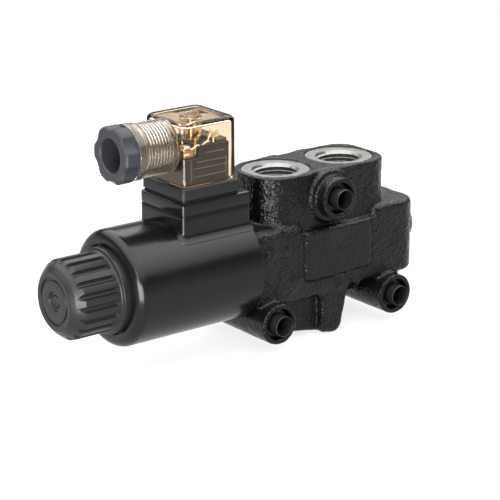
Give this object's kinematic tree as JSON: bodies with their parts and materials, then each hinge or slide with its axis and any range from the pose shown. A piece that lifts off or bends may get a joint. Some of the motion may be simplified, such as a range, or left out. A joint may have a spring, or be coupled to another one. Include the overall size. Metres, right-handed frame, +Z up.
{
  "type": "solenoid directional valve",
  "caption": "Solenoid directional spool valve: cast body with two threaded ports on top, round coil, fluted ring nut, override pin and clear connector with cable gland.",
  "frame": {"origin": "on the rear mounting face, level with the spool axis and midway between the two top ports", "axes": "+X along the spool towards the end plug, +Y out of the rear mounting face, +Z up out of the threaded ports"},
  "size_m": [0.1909, 0.0525, 0.1069],
  "materials": {
    "cast_iron_paint": "thick glossy black paint over a rough sand casting, bare machined port faces",
    "zinc_steel": "turned steel, lightly oiled",
    "black_steel": "blackened steel, satin",
    "spring_steel": "drawn spring wire",
    "coil_plastic": "black moulded plastic, polished, fine lettering left out",
    "nut_plastic": "black glass-filled plastic, satin with fine moulding grain",
    "copper_wire": "enamelled copper winding",
    "bobbin_plastic": "natural glass-filled plastic",
    "brass": "plain brass",
    "tin_plate": "bright tin-plated brass",
    "black_rubber": "black nitrile rubber",
    "clear_plastic": "clear smoky tan plastic",
    "carrier_plastic": "dark olive-black plastic",
    "gland_plastic": "dark grey plastic, satin",
    "board": "green circuit board",
    "lamp": "milky lamp"
  },
  "bodies": {
    "body": {"valve_body": "cast_iron_paint", "mounting_sleeves": "black_steel", "face_seals": "black_rubber", "gallery_plug": "zinc_steel", "end_plug": "black_steel", "end_plug_seal": "black_rubber", "return_spring": "spring_steel", "pole_piece": "zinc_steel", "core_tube": "zinc_steel", "tube_plug": "zinc_steel", "override_seal": "black_rubber", "coil_seal": "black_rubber"},
    "override": {"override_pin": "black_steel"},
    "armature": {"armature": "zinc_steel", "push_pin": "zinc_steel"},
    "spool": {"spool": "zinc_steel", "spring_seat": "zinc_steel"},
    "nut": {"ring_nut": "nut_plastic", "nut_seal": "black_rubber"},
    "coil": {"coil_housing": "coil_plastic", "yoke_sleeve": "zinc_steel", "yoke_washers": "zinc_steel", "coil_bobbin": "bobbin_plastic", "coil_winding": "copper_wire", "contact_blades": "tin_plate", "thread_insert": "brass", "connector_gasket": "black_rubber", "contact_carrier": "carrier_plastic", "contact_terminals": "tin_plate", "terminal_screws": "zinc_steel", "circuit_board": "board", "indicator_lamp": "lamp", "connector_housing": "clear_plastic", "gland_washer": "carrier_plastic", "gland_seal": "black_rubber"},
    "gland": {"gland_nut": "gland_plastic"},
    "screw": {"fixing_screw": "zinc_steel"}
  },
  "joints": [
    {"name": "spool_slide", "type": "slide", "parent": "body", "child": "spool", "axis": [1, 0, 0], "range_m": [0, 0.003], "stiffness_N_per_m": 4000, "deforming": ["return_spring"]},
    {"name": "armature_slide", "type": "slide", "parent": "body", "child": "armature", "axis": [1, 0, 0], "range_m": [0, 0.003]},
    {"name": "override_push", "type": "slide", "parent": "body", "child": "override", "axis": [1, 0, 0], "range_m": [0, 0.003]},
    {"name": "ring_nut_turn", "type": "hinge", "parent": "body", "child": "nut", "pos_m": [-0.12, -0.0255, 0], "axis": [-1, 0, 0], "continuous": true},
    {"name": "coil_swivel", "type": "hinge", "parent": "body", "child": "coil", "pos_m": [-0.075, -0.0255, 0], "axis": [-1, 0, 0], "continuous": true},
    {"name": "gland_nut_turn", "type": "hinge", "parent": "coil", "child": "gland", "pos_m": [-0.1, -0.0255, 0.057], "axis": [-1, 0, 0], "continuous": true},
    {"name": "fixing_screw_turn", "type": "hinge", "parent": "coil", "child": "screw", "pos_m": [-0.06355, -0.0255, 0.0667], "axis": [0, 0, 1], "continuous": true}
  ],
  "couplings": [
    {"joint": "armature_slide", "follows": "spool_slide", "ratio": 1},
    {"joint": "override_push", "follows": "spool_slide", "ratio": 1}
  ]
}
